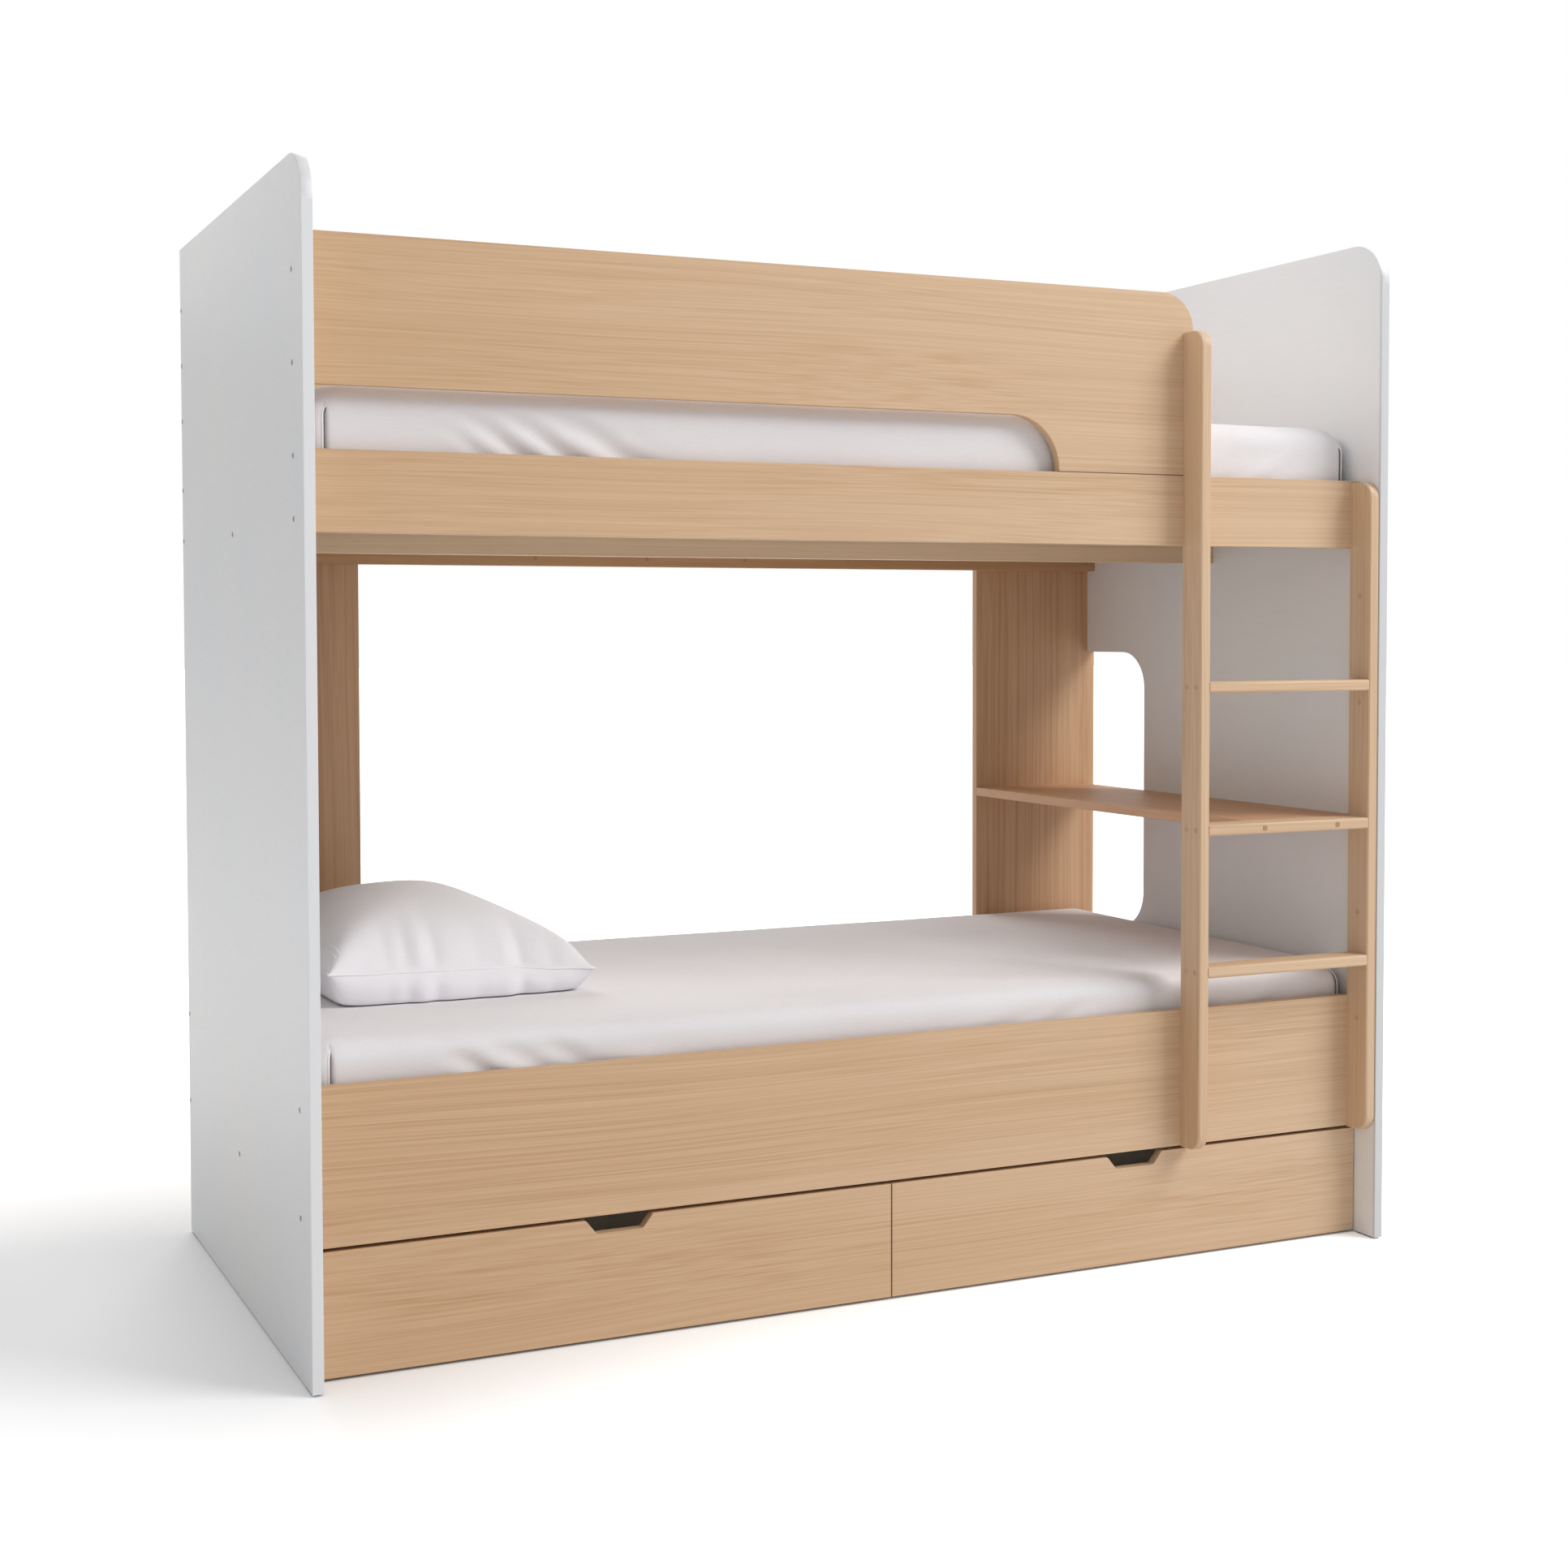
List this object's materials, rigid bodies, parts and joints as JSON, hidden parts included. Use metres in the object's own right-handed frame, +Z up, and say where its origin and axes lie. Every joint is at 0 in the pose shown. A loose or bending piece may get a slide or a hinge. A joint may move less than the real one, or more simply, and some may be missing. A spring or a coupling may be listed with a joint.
{
  "type": "bunk bed",
  "caption": "Bunk bed with a fixed ladder, guard boards, bedside shelf, end window, fitted sheets, pillow and castor drawers under the lower bunk.",
  "frame": {"origin": "centre of the footprint on the floor", "axes": "+X along the bed towards the ladder end, -Y the climbed front, +Z up"},
  "size_m": [2.0512, 1.01, 1.886],
  "materials": {
    "white_melamine": "smooth satin white melamine",
    "beech_melamine": "light beech decor, satin",
    "pine": "planed pine, unvarnished",
    "white_drawer_board": "white foil",
    "hardboard": "white faced hardboard",
    "grey_plastic": "matte",
    "wood_tone_plastic": "matte",
    "black_plastic": "matte",
    "steel": "drawn",
    "white_cotton": "woven cotton sheet"
  },
  "bodies": {
    "bed": {"bedside_shelf": "beech_melamine", "foot_glides": "grey_plastic", "front_guard_board": "beech_melamine", "ladder_bottom_rung": "beech_melamine", "ladder_left_stile": "beech_melamine", "ladder_middle_rung": "beech_melamine", "ladder_right_stile": "beech_melamine", "ladder_top_rung": "beech_melamine", "left_end_panel": "white_melamine", "left_panel_caps": "grey_plastic", "left_rear_board": "beech_melamine", "left_stile_caps": "wood_tone_plastic", "lower_centre_beam": "pine", "lower_front_batten": "pine", "lower_front_rail": "beech_melamine", "lower_mattress": "white_cotton", "lower_rear_batten": "pine", "lower_rear_rail": "beech_melamine", "lower_slats": "pine", "middle_rung_caps": "wood_tone_plastic", "pillow": "white_cotton", "rear_guard_board": "beech_melamine", "right_end_panel": "white_melamine", "right_panel_caps": "grey_plastic", "right_rear_board": "beech_melamine", "right_stile_caps": "wood_tone_plastic", "upper_centre_beam": "pine", "upper_front_batten": "pine", "upper_front_rail": "beech_melamine", "upper_mattress": "white_cotton", "upper_rear_batten": "pine", "upper_rear_rail": "beech_melamine", "upper_slats": "pine"},
    "left_drawer": {"left_castor_axles": "steel", "left_castor_housings": "black_plastic", "left_drawer_back": "white_drawer_board", "left_drawer_bottom": "hardboard", "left_drawer_front": "beech_melamine", "left_drawer_left_side": "white_drawer_board", "left_drawer_right_side": "white_drawer_board", "left_drawer_stiffener": "white_drawer_board"},
    "left_drawer_front_left_wheel": {"left_drawer_front_left_wheel": "black_plastic"},
    "left_drawer_front_right_wheel": {"left_drawer_front_right_wheel": "black_plastic"},
    "left_drawer_rear_left_wheel": {"left_drawer_rear_left_wheel": "black_plastic"},
    "left_drawer_rear_right_wheel": {"left_drawer_rear_right_wheel": "black_plastic"},
    "right_drawer": {"right_castor_axles": "steel", "right_castor_housings": "black_plastic", "right_drawer_back": "white_drawer_board", "right_drawer_bottom": "hardboard", "right_drawer_front": "beech_melamine", "right_drawer_left_side": "white_drawer_board", "right_drawer_right_side": "white_drawer_board", "right_drawer_stiffener": "white_drawer_board"},
    "right_drawer_front_left_wheel": {"right_drawer_front_left_wheel": "black_plastic"},
    "right_drawer_front_right_wheel": {"right_drawer_front_right_wheel": "black_plastic"},
    "right_drawer_rear_left_wheel": {"right_drawer_rear_left_wheel": "black_plastic"},
    "right_drawer_rear_right_wheel": {"right_drawer_rear_right_wheel": "black_plastic"}
  },
  "joints": [
    {"name": "left_drawer_slide", "type": "slide", "parent": "bed", "child": "left_drawer", "axis": [0, -1, 0], "range_m": [0, 0.6]},
    {"name": "left_drawer_front_left_wheel_spin", "type": "hinge", "parent": "left_drawer", "child": "left_drawer_front_left_wheel", "pos_m": [-0.967, -0.381, 0.014], "axis": [1, 0, 0], "continuous": true},
    {"name": "left_drawer_front_right_wheel_spin", "type": "hinge", "parent": "left_drawer", "child": "left_drawer_front_right_wheel", "pos_m": [-0.039, -0.381, 0.014], "axis": [1, 0, 0], "continuous": true},
    {"name": "left_drawer_rear_left_wheel_spin", "type": "hinge", "parent": "left_drawer", "child": "left_drawer_rear_left_wheel", "pos_m": [-0.967, 0.225, 0.014], "axis": [1, 0, 0], "continuous": true},
    {"name": "left_drawer_rear_right_wheel_spin", "type": "hinge", "parent": "left_drawer", "child": "left_drawer_rear_right_wheel", "pos_m": [-0.039, 0.225, 0.014], "axis": [1, 0, 0], "continuous": true},
    {"name": "right_drawer_slide", "type": "slide", "parent": "bed", "child": "right_drawer", "axis": [0, -1, 0], "range_m": [0, 0.6]},
    {"name": "right_drawer_front_left_wheel_spin", "type": "hinge", "parent": "right_drawer", "child": "right_drawer_front_left_wheel", "pos_m": [0.039, -0.381, 0.014], "axis": [1, 0, 0], "continuous": true},
    {"name": "right_drawer_front_right_wheel_spin", "type": "hinge", "parent": "right_drawer", "child": "right_drawer_front_right_wheel", "pos_m": [0.967, -0.381, 0.014], "axis": [1, 0, 0], "continuous": true},
    {"name": "right_drawer_rear_left_wheel_spin", "type": "hinge", "parent": "right_drawer", "child": "right_drawer_rear_left_wheel", "pos_m": [0.039, 0.225, 0.014], "axis": [1, 0, 0], "continuous": true},
    {"name": "right_drawer_rear_right_wheel_spin", "type": "hinge", "parent": "right_drawer", "child": "right_drawer_rear_right_wheel", "pos_m": [0.967, 0.225, 0.014], "axis": [1, 0, 0], "continuous": true}
  ],
  "couplings": [
    {"joint": "left_drawer_front_left_wheel_spin", "follows": "left_drawer_slide", "rad_per_m": 71.429},
    {"joint": "left_drawer_front_right_wheel_spin", "follows": "left_drawer_slide", "rad_per_m": 71.429},
    {"joint": "left_drawer_rear_left_wheel_spin", "follows": "left_drawer_slide", "rad_per_m": 71.429},
    {"joint": "left_drawer_rear_right_wheel_spin", "follows": "left_drawer_slide", "rad_per_m": 71.429},
    {"joint": "right_drawer_front_left_wheel_spin", "follows": "right_drawer_slide", "rad_per_m": 71.429},
    {"joint": "right_drawer_front_right_wheel_spin", "follows": "right_drawer_slide", "rad_per_m": 71.429},
    {"joint": "right_drawer_rear_left_wheel_spin", "follows": "right_drawer_slide", "rad_per_m": 71.429},
    {"joint": "right_drawer_rear_right_wheel_spin", "follows": "right_drawer_slide", "rad_per_m": 71.429}
  ]
}
